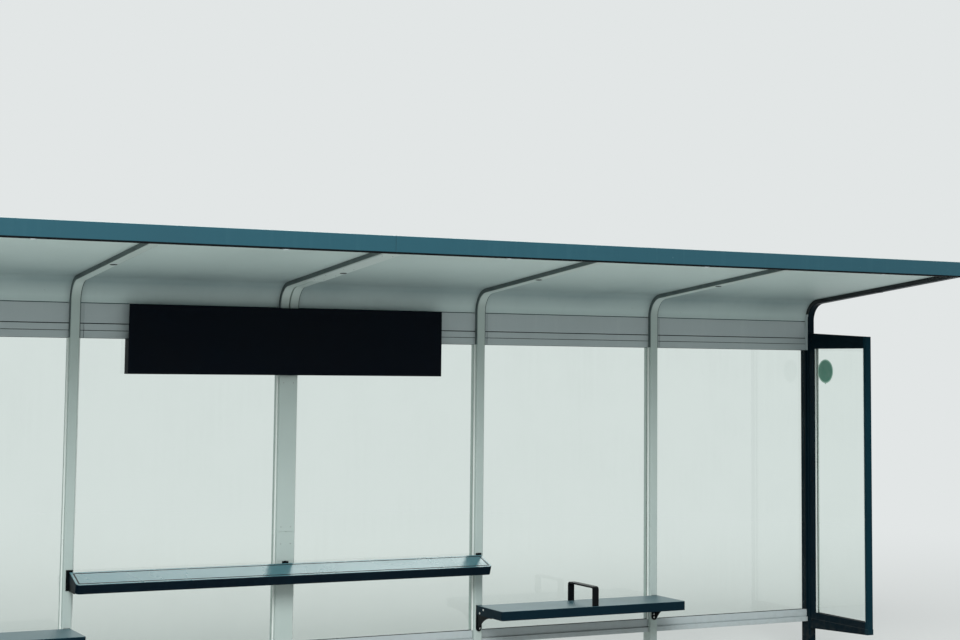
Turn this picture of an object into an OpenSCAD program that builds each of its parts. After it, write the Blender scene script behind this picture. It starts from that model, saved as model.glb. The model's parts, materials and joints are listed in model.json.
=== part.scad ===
// Stop shelter: a row of bent frames carries a cantilevered roof, a glazed back wall,
// end wings, a name board, a lean rail and two benches. Millimetres, +Z up, +Y to the back.
// The origin is at the underside of the centre frame's base plate.

/* [Layout] */
// Distance between frame centres
bay_w = 1200; // [1000:10:1500]

/* [Frames] */
// Width of a frame, seen from the front
frame_w = 50; // [40:1:60]
// Slit between the two frames that stand side by side in the middle
centre_gap = 5; // [3:1:20]
// Depth of the bent frame section, front to back
frame_d = 80; // [70:1:110]
// Corner radius of the frame section
frame_r = 5; // [2:0.5:10]
// Height at which the frames start to bend forwards
bend_z = 2138; // [2000:1:2400]
// Inside radius of the bend
bend_r = 110; // [80:1:160]
// Rise of the roof towards its front edge, in degrees
roof_tilt = 5.3; // [2:0.1:10]
// Reach of the roof from the centre of the posts to the front of the fascia
roof_reach = 1440; // [1100:1:1700]

/* [Feet] */
// Length of a base plate along the shelter
plate_x = 180; // [170:1:220]
// Depth of a base plate
plate_y = 220; // [180:1:260]
// Thickness of a base plate
plate_t = 15; // [10:1:25]
// Distance between anchor holes along the shelter
anchor_x = 140; // [125:1:145]
// Distance between anchor holes front to back
anchor_y = 170; // [130:1:175]
// Diameter of an anchor hole
anchor_hole_d = 18; // [12:1:22]

/* [Glazing] */
// Thickness of the safety glass
glass_t = 10; // [6:1:12]
// How deep the glass edge stands in its channel
glass_bite = 10; // [6:1:14]
// Thickness of the rubber lining on each side of the glass
gasket_t = 2; // [1:0.5:3]
// Depth of the glazing channel in posts and rails
channel_d = 13; // [12:1:16]
// Middle of the glass behind the front of the rails
glass_in = 10; // [10:1:14]

/* [Rails] */
// How far the panels and rails stand behind the front of the frames
setback = 26; // [18:1:28]
// Underside of the header
header_z = 1950; // [1850:1:2050]
// Underside of the bottom rail
sill_z = 227; // [180:1:300]
// Height of the bottom rail
sill_h = 75; // [60:1:100]
// Depth of the bottom rail and of the lower part of the header
rail_d = 34; // [30:1:40]

/* [Roof] */
// Thickness of the ceiling sheet
ceiling_t = 3; // [2:0.5:5]
// Thickness of the roof skin
skin_t = 2; // [1.5:0.5:4]
// How far the fascia hangs below the frames
fascia_drop = 4; // [4:1:20]
// Thickness of the fascia face
fascia_t = 4; // [3:0.5:6]

/* [Name board] */
// Length of the name board
board_w = 1845; // [1200:5:2100]
// Height of the name board
board_h = 369; // [250:1:420]
// Underside of the name board
board_z = 1762; // [1650:1:1800]
// How far the board's face stands in front of the frames
board_proud = 40; // [25:1:60]

/* [Lean rail] */
// Depth of the lean rail along its slope
lean_d = 155; // [130:1:200]
// Thickness of the lean rail
lean_t = 51; // [35:1:60]
// Tilt of the lean rail, down at the front, in degrees
lean_tilt = 19; // [5:1:30]
// Height of the lean rail's upper back edge
lean_z = 736; // [650:1:820]
// Corner radius of the lean rail
lean_r = 22; // [5:1:40]

/* [Benches] */
// Height of the seat
seat_z = 448; // [400:1:500]
// Depth of the seat
seat_d = 312; // [280:1:400]
// Height of the seat's front apron
seat_h = 52; // [40:1:70]
// Radius of the seat's front corners
seat_r = 15; // [8:1:60]
// Thickness of the seat sheet
seat_t = 4; // [3:0.5:6]
// Height of the armrest above the seat
arm_h = 112; // [90:1:200]
// Width of the armrest bar
arm_w = 40; // [30:1:50]
// Thickness of the armrest bar
arm_t = 10; // [6:1:14]
// Outer bend radius of the armrest
arm_r = 18; // [14:1:30]

/* [Wings] */
// Reach of a wing from the centre of the post to the front of its stile
wing_reach = 609; // [350:1:750]
// Thickness of a wing frame
wing_t = 38; // [34:1:46]
// Depth of the front stile
stile_d = 28; // [24:1:50]
// Depth of the stile at the post
root_stile = 50; // [20:1:70]
// Height of the upper arm at the post
arm_top_h = 98; // [70:1:120]
// Height of the lower arm at the post
arm_low_h = 102; // [70:1:120]
// Height that each arm loses towards its tip
arm_taper = 28; // [0:1:40]
// Upper edge of the lower arm
wing_sill_z = 288; // [240:1:340]
// Lower edge of the upper arm
wing_head_z = 1960; // [1850:1:2000]

/* [Hidden] */

$fn = 96;
bay_count = 6;       // the nodes are named for six bays, with one frame in the middle
seam = 0.5;          // gap between pieces that butt together
skin_gap = 0.3;      // the roof skin and the rib cover lie this far off the frames
cut = 1;             // how far a cutting shape runs past what it cuts
half_bays = bay_count / 2;
centre_w = 2 * frame_w + centre_gap;
front_y = -frame_d / 2;
panel_y = front_y + setback;        // front face of rails and ceiling uprights
glass_y = panel_y + glass_in;       // middle of the glass in the back wall
bend_y = front_y - bend_r;          // centre of the bend
sweep = 90 - roof_tilt;
bend_steps = 24;                    // flats round the bend
channel_w = glass_t + 2 * gasket_t;
fascia_back = -roof_reach + fascia_t;

pale = "#9fb0ae";
teal_dark = "#1d3a45";
teal = "#32606c";
near_black = "#0b1119";
rubber = "#15191b";
ceiling_tone = "#c4ccc8";
glass_tone = "#9fc3c4";

// Height of the frame's underside at the distance y from the post centres
function rib_z(y) = bend_z + bend_r * tan(sweep / 2) + (front_y - y) * tan(roof_tilt);
fascia_z = rib_z(fascia_back) - fascia_drop;

// Half the width of the frame with number i, counted from the middle
function half_w(i) = (i == 0 ? centre_w : frame_w) / 2;
// Left and right edge of the opening of bay k, from 1 at the left
function bay_left(k) = (k - 1 - half_bays) * bay_w + half_w(k - 1 - half_bays);
function bay_right(k) = (k - half_bays) * bay_w - half_w(k - half_bays);

// Side view helpers: 2D x is the depth Y, 2D y is the height Z
module extrude_x(x0, x1) {
  translate([x0, 0, 0]) rotate([90, 0, 90]) linear_extrude(x1 - x0) children();
}

// Points of the bend at radius r, from the upright towards the roof or back
function bend_points(r, back = false) =
  [for (i = [0 : bend_steps]) let (a = sweep * (back ? bend_steps - i : i) / bend_steps)
    [bend_y + r * cos(a), bend_z + r * sin(a)]];
// Height of the line that runs off outside the frame's underside
function line_z(off, y) = rib_z(y) + off / cos(roof_tilt);

// A strip that follows the frame's line at the offset off outside its inner face
module bent_strip(off, thick, foot, tip_y) {
  polygon(concat(
    [[front_y + off, foot]],
    bend_points(bend_r + off),
    [[tip_y, line_z(off, tip_y)], [tip_y, line_z(off + thick, tip_y)]],
    bend_points(bend_r + off + thick, true),
    [[front_y + off + thick, foot]]));
}

module anchor_holes() {
  for (x = [-1, 1], y = [-1, 1])
    translate([x * anchor_x / 2, y * anchor_y / 2, -cut])
      cylinder(d = anchor_hole_d, h = plate_t + 2 * cut);
}

// Rounded section of a frame: x runs across it, y from its front face to its back
corner_steps = 3;
section = [for (c = [0 : 3], i = [0 : corner_steps])
  let (a = 90 * (c - 1 + i / corner_steps), side = c < 2 ? 1 : -1, back = c == 1 || c == 2)
    [side * (frame_w / 2 - frame_r) + frame_r * cos(a),
      (back ? frame_d - frame_r : frame_r) + frame_r * sin(a)]];

// Where the section point p lies at each station: 0 is the foot, the last is the front tip
stations = bend_steps + 2;
function at_station(p, s) =
  s == 0 ? [p.x, front_y + p.y, plate_t / 2] :
  s == stations ? [p.x, fascia_back, line_z(p.y, fascia_back)] :
  let (a = sweep * (s - 1) / bend_steps, r = bend_r + p.y)
    [p.x, bend_y + r * cos(a), bend_z + r * sin(a)];

// Post, bend and rib as one section swept along the frame's line
module bent_tube() {
  n = len(section);
  sides = [for (s = [0 : stations - 1], k = [0 : n - 1])
    let (m = (k + 1) % n, a = s * n, b = (s + 1) * n)
      each [[a + k, b + k, b + m], [a + k, b + m, a + m]]];
  caps = [[for (k = [0 : n - 1]) k], [for (k = [n - 1 : -1 : 0]) stations * n + k]];
  polyhedron([for (s = [0 : stations], p = section) at_station(p, s)], concat(sides, caps), convexity = 6);
}

// Slot in the underside of the rib, for a hanging sign
slot_y = 730;        // how far in front of the posts
slot_w = 38;
slot_l = 5;
slot_d = 3;
module rib_slot() {
  translate([0, -slot_y, rib_z(-slot_y)]) rotate([-roof_tilt, 0, 0])
    translate([-slot_w / 2, -slot_l / 2, -cut - cover_t]) cube([slot_w, slot_l, slot_d + cut + cover_t]);
}

// Middle of each tube of frame i: one tube, or two side by side on one base plate
tube_step = (frame_w + centre_gap) / 2;
function tubes(i) = i == 0 ? [-tube_step, tube_step] : [0];

// A frame with its base plate and a glazing channel on each glazed side
module frame(i, tone) {
  color(tone) translate([i * bay_w, 0, 0]) {
    difference() {
      for (x = tubes(i)) translate([x, 0, 0]) bent_tube();
      for (s = [-1, 1])
        if (abs(i + s) <= half_bays)
          translate([s * half_w(i) - channel_d, glass_y - channel_w / 2, sill_z])
            cube([2 * channel_d, channel_w, bend_z - sill_z - channel_d]);
      translate([tubes(i)[len(tubes(i)) - 1], 0, 0]) rib_slot();
    }
    difference() {
      translate([-plate_x / 2, -plate_y / 2, 0]) cube([plate_x, plate_y, plate_t]);
      anchor_holes();
    }
  }
}

// Flat covers of the double frame: on the post, in three lengths, and under the rib
cover_foot_z = 60;
cover_joint_z = 905;
cover_joint = 2;
cover_t = 2;
cover_inset = 3;
cover_end_gap = 2;
cover_w = centre_w - 2 * cover_inset;
module centre_covers() {
  color(pale) {
    post_cover(cover_foot_z, lean_z + lean_plate_over - lean_plate_h - cover_end_gap);
    post_cover(lean_z + lean_plate_over + cover_end_gap, cover_joint_z - cover_joint / 2);
    post_cover(cover_joint_z + cover_joint / 2, board_z - cover_end_gap);
    rib_cover();
  }
}

module post_cover(z0, z1) {
  translate([-cover_w / 2, front_y - cover_t, z0]) cube([cover_w, cover_t, z1 - z0]);
}

rib_cover_start = 390;
rib_cover_end_gap = 30;
rib_cover_r = 12;
module rib_cover() {
  y0 = -rib_cover_start;
  len = (-fascia_back - rib_cover_start - rib_cover_end_gap) / cos(roof_tilt);
  difference() {
    translate([0, y0, rib_z(y0)]) rotate([-roof_tilt, 0, 0])
      translate([-cover_w / 2, -len, -cover_t - skin_gap]) {
      cube([cover_w, len - rib_cover_r, cover_t]);
      translate([rib_cover_r, 0, 0]) cube([cover_w - 2 * rib_cover_r, len, cover_t]);
      for (x = [rib_cover_r, cover_w - rib_cover_r])
        translate([x, len - rib_cover_r, 0]) cylinder(r = rib_cover_r, h = cover_t);
    }
    translate([tube_step, 0, 0]) rib_slot();
  }
}

// Dark seals that close the recess beside each frame, over the ceiling and the header
seal_w = 2.5;
seal_in = 3;
seal_gap = 0.3;
module panel_seals() {
  color(rubber) for (k = [1 : bay_count])
    for (x = [bay_left(k) + seal_gap, bay_right(k) - seal_gap - seal_w])
      extrude_x(x, x + seal_w)
        bent_strip(seal_in, setback - seal_in - seal_gap, header_z, fascia_back + seam);
}

// One sheet of glass with its edges in the channels
module glass_bay(k) {
  x0 = bay_left(k) - glass_bite;
  x1 = bay_right(k) + glass_bite;
  z0 = sill_z + sill_h - glass_bite;
  z1 = header_z + glass_bite;
  color(glass_tone, 0.3) translate([x0, glass_y - glass_t / 2, z0]) cube([x1 - x0, glass_t, z1 - z0]);
}

// Rubber frame round one sheet: it fills the channel and holds the glass edge
gasket_lip = 2;      // how far the rubber shows past the channel's mouth
gasket_back = 2;     // rubber behind the glass edge
module gasket_ring(x0, x1, z0, z1) {
  lip = gasket_lip;
  deep = glass_bite + gasket_back;
  difference() {
    translate([x0 - deep, -channel_w / 2, z0 - deep])
      cube([x1 - x0 + 2 * deep, channel_w, z1 - z0 + 2 * deep]);
    translate([x0 + lip, -channel_w, z0 + lip])
      cube([x1 - x0 - 2 * lip, 2 * channel_w, z1 - z0 - 2 * lip]);
    translate([x0 - glass_bite, -glass_t / 2, z0 - glass_bite])
      cube([x1 - x0 + 2 * glass_bite, glass_t, z1 - z0 + 2 * glass_bite]);
  }
}

module glazing_gaskets() {
  color(rubber) {
    for (k = [1 : bay_count]) translate([0, glass_y, 0])
      gasket_ring(bay_left(k), bay_right(k), sill_z + sill_h, header_z);
    for (s = [-1, 1]) wing_at(s) rotate([0, 0, -90])
      gasket_ring(root_stile - wing_root, wing_reach - stile_d, wing_sill_z, wing_head_z);
  }
}

// Pale beads that hold the glass: upright ones beside the posts and flat ones in the wings
bead_w = 8;
bead_d = 11;
bead_gap = 0.3;
wing_bead_w = 12;
wing_bead_t = 4;
module glazing_beads() {
  back = glass_y - channel_w / 2 - bead_gap;
  low = sill_z + sill_h + seam;
  color(pale) {
    for (k = [1 : bay_count], e = [-1, 1]) {
      x = e < 0 ? bay_left(k) + bead_gap : bay_right(k) - bead_gap - bead_w;
      by_board = abs(x) < bay_w / 2;      // the name board closes the top of these
      top = by_board ? board_z : header_z;
      translate([x, back - bead_d, low]) cube([bead_w, bead_d, top - seam - low]);
    }
    for (s = [-1, 1], f = [-1, 1]) wing_at(s) wing_beads(f);
  }
}

// Beads on one face of a wing's glass, along the stiles
module wing_beads(f) {
  off = channel_w / 2 + bead_gap + wing_bead_t / 2;
  h = wing_head_z - wing_sill_z - 2 * seam;
  for (y = [wing_root - root_stile - bead_gap - wing_bead_w, -wing_reach + stile_d + bead_gap])
    translate([f * off - wing_bead_t / 2, y, wing_sill_z + seam]) cube([wing_bead_t, wing_bead_w, h]);
}

// Header: a slim lower box with a raised bead between two grooves, and a deep upper box
// under the roof cavity
groove_h = 5;
groove_d = 4;
fine_groove_h = 3;
header_step_z = header_z + 74;
header_bead_z = header_z + 38;
bead_proud = 2;
header_top_gap = 4;                 // dark gap below the ceiling sheet
ceiling_foot_z = bend_z - 1.5;
joint_x = 26;                       // upright joint line beside each frame
joint_w = 2;
joint_d = 1.5;
module header_profile() {
  top = ceiling_foot_z - header_top_gap;
  upper_z = header_step_z + groove_h;
  difference() {
    union() {
      translate([panel_y, header_z]) square([rail_d, top - header_z]);
      translate([panel_y, upper_z]) square([-front_y - panel_y, top - upper_z]);
    }
    translate([panel_y - cut, header_step_z]) square([groove_d + cut, groove_h]);
    translate([panel_y - cut, header_bead_z]) square([groove_d + cut, fine_groove_h]);
    translate([glass_y - channel_w / 2, header_z - cut]) square([channel_w, channel_d + cut]);
  }
}

module header_bead() {
  low = header_bead_z + fine_groove_h;
  translate([panel_y - bead_proud, low]) square([2 * bead_proud, header_step_z - low]);
}

module header_rails() {
  bead_in = seal_gap + seal_w + seam;
  color(pale) for (k = [1 : bay_count]) difference() {
    union() {
      extrude_x(bay_left(k) + seam, bay_right(k) - seam) header_profile();
      extrude_x(bay_left(k) + bead_in, bay_right(k) - bead_in) header_bead();
    }
    translate([bay_left(k) + joint_x, panel_y - bead_proud - cut, header_z - cut])
      cube([joint_w, bead_proud + joint_d + cut, bend_z - header_z]);
  }
}

// Bottom rail: a set-back upper strip and a lower strip that stands forward
sill_step = 47;
sill_proud = 10;
module sill_profile() {
  difference() {
    union() {
      translate([panel_y, sill_z]) square([rail_d, sill_h]);
      translate([panel_y - sill_proud, sill_z]) square([rail_d, sill_h - sill_step]);
    }
    translate([glass_y - channel_w / 2, sill_z + sill_h - channel_d]) square([channel_w, channel_d + cut]);
    translate([panel_y - cut, sill_z + sill_h - sill_step]) square([groove_d + cut, groove_h]);
  }
}

module bottom_rails() {
  color(pale) for (k = [1 : bay_count])
    extrude_x(bay_left(k) + seam, bay_right(k) - seam) sill_profile();
}

// Curved ceiling sheet of one bay
module ceiling_bay(k) {
  color(ceiling_tone) extrude_x(bay_left(k) + seam, bay_right(k) - seam)
    bent_strip(setback, ceiling_t, ceiling_foot_z, fascia_back + seam);
}

// Outer skin over three bays, down the back to the header's step
module roof_skin(s) {
  end = half_bays * bay_w + frame_w / 2;
  color(teal) extrude_x(s < 0 ? -end : seam, s < 0 ? -seam : end)
    bent_strip(frame_d + skin_gap, skin_t, header_step_z + groove_h, fascia_back + seam);
}

// Fascia: a face with a lip over the skin and a drip return below
lip_d = 14;
lip_t = 2;
drip_d = 10;
drip_t = 2;
fascia_over = 3;     // how far the fascia runs past the end frames
module fascia_profile() {
  lip_z = line_z(frame_d + skin_gap + skin_t, fascia_back) + seam;
  translate([-roof_reach, fascia_z]) square([fascia_t, lip_z + lip_t - fascia_z]);
  translate([-roof_reach, fascia_z]) square([fascia_t + drip_d, drip_t]);
  translate([-roof_reach, lip_z]) square([fascia_t + lip_d, lip_t]);
}

module fascia(s) {
  end = half_bays * bay_w + frame_w / 2 + fascia_over;
  color(teal) extrude_x(s < 0 ? -end : seam, s < 0 ? -seam : end) fascia_profile();
}

// Name board: a thin face plate in front of the frames, a box below the header that
// reaches back to the glass, and spacers to the header and to the centre post
board_t = 6;
spacer_w = 60;
spacer_in = 220;     // middle of an outer spacer from the board's end
spacer_edge = 20;    // spacers end this far from the header's groove and the board's top
module name_board() {
  face_y = front_y - board_proud;
  box_back = glass_y - channel_w / 2 - seam;
  spacer_z = header_step_z + spacer_edge;
  spacer_h = board_z + board_h - spacer_edge - spacer_z;
  color(near_black) {
    translate([-board_w / 2, face_y, board_z]) cube([board_w, board_t, board_h]);
    difference() {
      translate([-board_w / 2, face_y, board_z])
        cube([board_w, box_back - face_y, header_z - seam - board_z]);
      translate([-centre_w / 2 - seam, front_y - seam, 0])
        cube([centre_w + 2 * seam, frame_d, bend_z]);
    }
    for (s = [-1, 1]) translate([s * (board_w / 2 - spacer_in) - spacer_w / 2, face_y, spacer_z])
      cube([spacer_w, panel_y - seam - face_y, spacer_h]);
    translate([-spacer_w / 2, face_y, spacer_z]) cube([spacer_w, board_proud - seam, spacer_h]);
  }
}

// Lean rail: a tilted board with a raised rim, over two bays, in front of its bracket plates
lean_plate_t = 6;
lean_back_y = front_y - lean_plate_t - 2 * seam;      // lower back edge of the board
module lean_local() {
  translate([0, lean_back_y - lean_t * sin(lean_tilt), lean_z])
    rotate([lean_tilt, 0, 0]) children();
}

module rounded_board(x, y, r, h) {
  translate([-x / 2, -y, 0]) {
    translate([0, r, 0]) cube([x, y - r, h]);
    translate([r, 0, 0]) cube([x - 2 * r, r, h]);
    for (s = [r, x - r]) translate([s, r, 0]) cylinder(r = r, h = h);
  }
}

lean_rim = 15;       // flat rim outside the groove
rim_groove_w = 4;
rim_groove_d = 2;
rim_groove_r = 6;
module lean_rail() {
  x = 2 * bay_w;
  inner_x = x - 2 * lean_rim;
  inner_d = lean_d - 2 * lean_rim;
  w = rim_groove_w;
  color(teal_dark) lean_local() difference() {
    translate([0, 0, -lean_t]) rounded_board(x, lean_d, lean_r, lean_t);
    translate([0, -lean_rim, -rim_groove_d]) difference() {
      rounded_board(inner_x, inner_d, rim_groove_r, rim_groove_d + cut);
      translate([0, -w, -cut]) rounded_board(inner_x - 2 * w, inner_d - 2 * w, w, rim_groove_d + 3 * cut);
    }
  }
}

// Brackets of the lean rail: a plate on the post's front and a web under the board
lean_plate_w = 36;
lean_plate_h = 106;
lean_plate_over = 10;                    // plate above the board's back edge
lean_web_t = 8;
lean_web_tip = 14;
lean_web_reach = 116;
lean_end_in = lean_plate_w / 2 - frame_w / 4; // the outer brackets stand this far in
function lean_under(y) = lean_z - lean_t * cos(lean_tilt) - (lean_back_y - y) * tan(lean_tilt) - seam;
module lean_rail_brackets() {
  low = lean_z + lean_plate_over - lean_plate_h;
  tip = front_y - lean_web_reach;
  plate_back = front_y - seam;
  plate_front = plate_back - lean_plate_t;
  color(near_black) for (i = [-1 : 1]) {
    x = i * (bay_w - lean_end_in);
    translate([x - lean_plate_w / 2, plate_front, low]) cube([lean_plate_w, lean_plate_t, lean_plate_h]);
    extrude_x(x - lean_web_t / 2, x + lean_web_t / 2) polygon([
      [plate_back, low], [plate_back, lean_under(plate_front) - seam],
      [plate_front, lean_under(plate_front)], [tip, lean_under(tip)],
      [tip, lean_under(tip) - lean_web_tip], [plate_front, low]]);
  }
}

// Bench seat: a pressed tray with tight front corners and aprons on three sides
module bench_at(s) {
  translate([s * (half_bays - 1.5) * bay_w, front_y - bench_plate_t - 2 * seam, seat_z]) children();
}

bench_over = 17;     // how far the seat runs past the frame centres
module seat(s) {
  x = bay_w + 2 * bench_over;
  color(teal_dark) bench_at(s) difference() {
    translate([0, 0, -seat_h]) rounded_board(x, seat_d, seat_r, seat_h);
    translate([0, cut, -seat_h - cut])
      rounded_board(x - 2 * seat_t, seat_d - seat_t + cut, seat_r - seat_t, seat_h - seat_t + cut);
  }
}

// Bench brackets: a plate with a round foot on each post, and a web that lies against the
// seat's end apron and has a hollow lower edge
bench_plate_h = 148;
bench_plate_w = 34;
bench_plate_t = 8;
module bench_plate() {
  r = bench_plate_w / 2;
  rotate([90, 0, 0]) translate([0, 0, -bench_plate_t - seam]) linear_extrude(bench_plate_t) {
    translate([0, r - bench_plate_h]) circle(r);
    translate([-r, r - bench_plate_h]) square([bench_plate_w, bench_plate_h - r]);
  }
}

web_reach = 169;     // how far the web runs forwards under the seat
web_under = 5;       // web that shows under the apron at its front end
web_hollow = 206;    // radius of the hollow lower edge
web_out = bench_over - seat_t - seam - bench_plate_t / 2;   // webs lie against the end aprons
module bench_web() {
  top = -seat_t - seam;
  hollow_z = -seat_h - web_under - web_hollow;
  foot = hollow_z + sqrt(web_hollow * web_hollow - web_reach * web_reach);
  extrude_x(-bench_plate_t / 2, bench_plate_t / 2) difference() {
    translate([-web_reach, foot]) square([web_reach + cut, top - foot]);
    translate([-web_reach, hollow_z]) circle(web_hollow);
  }
}

module bench_brackets(s) {
  color(near_black) bench_at(s) for (e = [-1, 1]) translate([e * bay_w / 2, 0, 0]) {
    bench_plate();
    translate([e * web_out, 0, 0]) bench_web();
  }
}

// Armrest: a flat bar bent into an inverted U across the middle of the seat
arm_back_in = 16;
arm_front_in = 6;
module armrest(s) {
  back = -arm_back_in;
  front = -seat_d + arm_front_in;
  color(near_black) bench_at(s) extrude_x(-arm_w / 2, arm_w / 2) difference() {
    round_gate(front, back, arm_h, arm_r);
    round_gate(front + arm_t, back - arm_t, arm_h - arm_t, arm_r - arm_t);
  }
}

module round_gate(y0, y1, h, r) {
  translate([y0, seam]) square([y1 - y0, h - r - seam]);
  translate([y0 + r, seam]) square([y1 - y0 - 2 * r, h - seam]);
  for (y = [y0 + r, y1 - r]) translate([y, h - r]) circle(r);
}

// Wings stand in the plane of the end frames
module wing_at(s) {
  translate([s * half_bays * bay_w, 0, 0]) children();
}

wing_root = front_y - seam;              // where the wing meets the end post
kick_gap = 40;                           // smooth band above the kick plate
kick_proud = 3;                          // the kick plate stands this far out on each side
module wing_outline() {
  tip = -wing_reach;
  difference() {
    polygon([
      [wing_root, wing_sill_z - arm_low_h], [wing_root, wing_head_z + arm_top_h],
      [tip, wing_head_z + arm_top_h - arm_taper], [tip, wing_sill_z - arm_low_h + arm_taper]]);
    translate([tip + stile_d, wing_sill_z])
      square([wing_root - root_stile - tip - stile_d, wing_head_z - wing_sill_z]);
  }
}

// The lower arm's part below the smooth band
module kick_outline() {
  intersection() {
    wing_outline();
    translate([-wing_reach, 0]) square([wing_reach, wing_sill_z - kick_gap]);
  }
}

module wing_frame(s) {
  color(teal_dark) wing_at(s) {
    difference() {
      extrude_x(-wing_t / 2, wing_t / 2) wing_outline();
      translate([-channel_w / 2, -wing_reach + stile_d - channel_d, wing_sill_z - channel_d])
        cube([channel_w, wing_reach - stile_d + wing_root - root_stile + 2 * channel_d,
          wing_head_z - wing_sill_z + 2 * channel_d]);
    }
    extrude_x(-wing_t / 2 - kick_proud, wing_t / 2 + kick_proud) kick_outline();
  }
}

module wing_glass(s) {
  z0 = wing_sill_z - glass_bite;
  z1 = wing_head_z + glass_bite;
  y0 = -wing_reach + stile_d - glass_bite;
  y1 = wing_root - root_stile + glass_bite;
  color(glass_tone, 0.3) wing_at(s) translate([-glass_t / 2, y0, z0]) cube([glass_t, y1 - y0, z1 - z0]);
}

frame(-half_bays, teal_dark);  // frame_left_end
frame(-2, pale);  // frame_left_outer
frame(-1, pale);  // frame_left_inner
frame(0, pale);  // frame_centre
frame(1, pale);  // frame_right_inner
frame(2, pale);  // frame_right_outer
frame(half_bays, teal_dark);  // frame_right_end
centre_covers();
panel_seals();
glass_bay(1);  // glass_bay_1
glass_bay(2);  // glass_bay_2
glass_bay(3);  // glass_bay_3
glass_bay(4);  // glass_bay_4
glass_bay(5);  // glass_bay_5
glass_bay(6);  // glass_bay_6
glazing_gaskets();
glazing_beads();
header_rails();
bottom_rails();
ceiling_bay(1);  // ceiling_bay_1
ceiling_bay(2);  // ceiling_bay_2
ceiling_bay(3);  // ceiling_bay_3
ceiling_bay(4);  // ceiling_bay_4
ceiling_bay(5);  // ceiling_bay_5
ceiling_bay(6);  // ceiling_bay_6
roof_skin(-1);  // roof_skin_left
roof_skin(1);  // roof_skin_right
fascia(-1);  // fascia_left
fascia(1);  // fascia_right
name_board();
lean_rail();
lean_rail_brackets();
seat(-1);  // bench_left_seat
bench_brackets(-1);  // bench_left_brackets
armrest(-1);  // bench_left_armrest
seat(1);  // bench_right_seat
bench_brackets(1);  // bench_right_brackets
armrest(1);  // bench_right_armrest
wing_frame(-1);  // wing_left_frame
wing_glass(-1);  // wing_left_glass
wing_frame(1);  // wing_right_frame
wing_glass(1);  // wing_right_glass
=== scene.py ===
# Bus shelter: looks, small fittings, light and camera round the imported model
import json
import math
import random

import bmesh
import bpy
from mathutils import Matrix, Vector
from mathutils.bvhtree import BVHTree


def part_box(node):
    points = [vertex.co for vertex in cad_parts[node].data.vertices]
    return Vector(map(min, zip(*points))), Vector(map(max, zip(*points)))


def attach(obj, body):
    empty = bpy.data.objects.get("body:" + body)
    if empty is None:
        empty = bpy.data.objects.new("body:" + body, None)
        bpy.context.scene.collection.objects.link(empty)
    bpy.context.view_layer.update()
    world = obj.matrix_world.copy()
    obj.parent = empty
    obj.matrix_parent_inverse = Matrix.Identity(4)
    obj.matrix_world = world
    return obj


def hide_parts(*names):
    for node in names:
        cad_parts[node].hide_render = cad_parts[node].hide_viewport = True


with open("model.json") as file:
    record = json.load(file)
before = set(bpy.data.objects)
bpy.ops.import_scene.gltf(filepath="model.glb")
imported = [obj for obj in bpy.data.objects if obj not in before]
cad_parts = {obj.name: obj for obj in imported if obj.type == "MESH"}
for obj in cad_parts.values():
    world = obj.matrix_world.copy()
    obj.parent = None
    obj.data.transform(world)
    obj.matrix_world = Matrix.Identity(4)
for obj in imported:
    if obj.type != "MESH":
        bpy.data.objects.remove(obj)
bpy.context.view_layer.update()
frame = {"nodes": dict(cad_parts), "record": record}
nodes = frame["nodes"]
record = frame["record"]
draw = random.Random(7)
print("frame loaded:", len(nodes), "nodes")


# Colours and shader nodes

def tone(hexText):
    # sRGB hex to linear RGBA
    parts = [int(hexText[i:i + 2], 16) / 255 for i in (1, 3, 5)]
    return tuple(p / 12.92 if p <= 0.04045 else ((p + 0.055) / 1.055) ** 2.4 for p in parts) + (1.0,)


def addNode(tree, kind, inputs=None, **settings):
    # one shader node with its settings, values and links
    node = tree.nodes.new(kind)
    for name, value in settings.items():
        setattr(node, name, value)
    for name, value in (inputs or {}).items():
        if isinstance(value, bpy.types.NodeSocket):
            tree.links.new(value, node.inputs[name])
        else:
            node.inputs[name].default_value = value
    return node


def newMaterial(name):
    # an empty material, its node tree and the place on the piece that its patterns follow
    material = bpy.data.materials.new(name)
    material.use_nodes = True
    tree = material.node_tree
    tree.nodes.clear()
    return material, tree, addNode(tree, "ShaderNodeTexCoord").outputs["Object"]


def finished(material, kind, inputs):
    # closes a material with its surface shader
    tree = material.node_tree
    shader = addNode(tree, kind, inputs)
    addNode(tree, "ShaderNodeOutputMaterial", {"Surface": shader.outputs[0]})
    return material


def pattern(tree, place, sizeMm, detail=2.0, along=None, kind="ShaderNodeTexNoise"):
    # a texture whose features are this many millimetres wide, drawn out along Z where along says so
    if along:
        place = addNode(tree, "ShaderNodeMapping", {"Vector": place, "Scale": (1.0, 1.0, along)}).outputs[0]
    return addNode(tree, kind, {"Vector": place, "Scale": 1000 / sizeMm, "Detail": detail}).outputs[0]


def stretched(tree, *parts):
    # multiplies its parts: a number or an output as it stands, or an output stretched from low and high
    # to 0 and 1, or to a start and an end of its own
    product = None
    for part in parts:
        if isinstance(part, tuple):
            value, low, high, start, end = part if len(part) == 5 else part + (0.0, 1.0)
            part = addNode(tree, "ShaderNodeMapRange",
                           {0: value, 1: low, 2: high, 3: start, 4: end}).outputs[0]
        if product is not None:
            part = addNode(tree, "ShaderNodeMath", {0: product, 1: part}, operation="MULTIPLY").outputs[0]
        product = part
    return product


def layered(tree, base, *layers):
    # a colour with other colours laid over it one after another, each by its own share
    colour = tone(base)
    for share, over in layers:
        colour = addNode(tree, "ShaderNodeMix", {0: share, 6: colour, 7: tone(over)},
                         data_type="RGBA").outputs[2]
    return colour


# what the street leaves on paint: dust on top, splashed mud at the feet up to mudEnd metres and runs of rain,
# whose pattern has only this share of its scale along Z; and the tone of the painted shade at the ceiling's
# bend
weatherAndShade = {"dust": "#8f9188", "mud": "#837c6c", "mudMm": 30, "mudFull": 0.05, "mudEnd": 0.32,
           "creaseShade": "#4c656c", "runAlong": 0.06}


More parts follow.
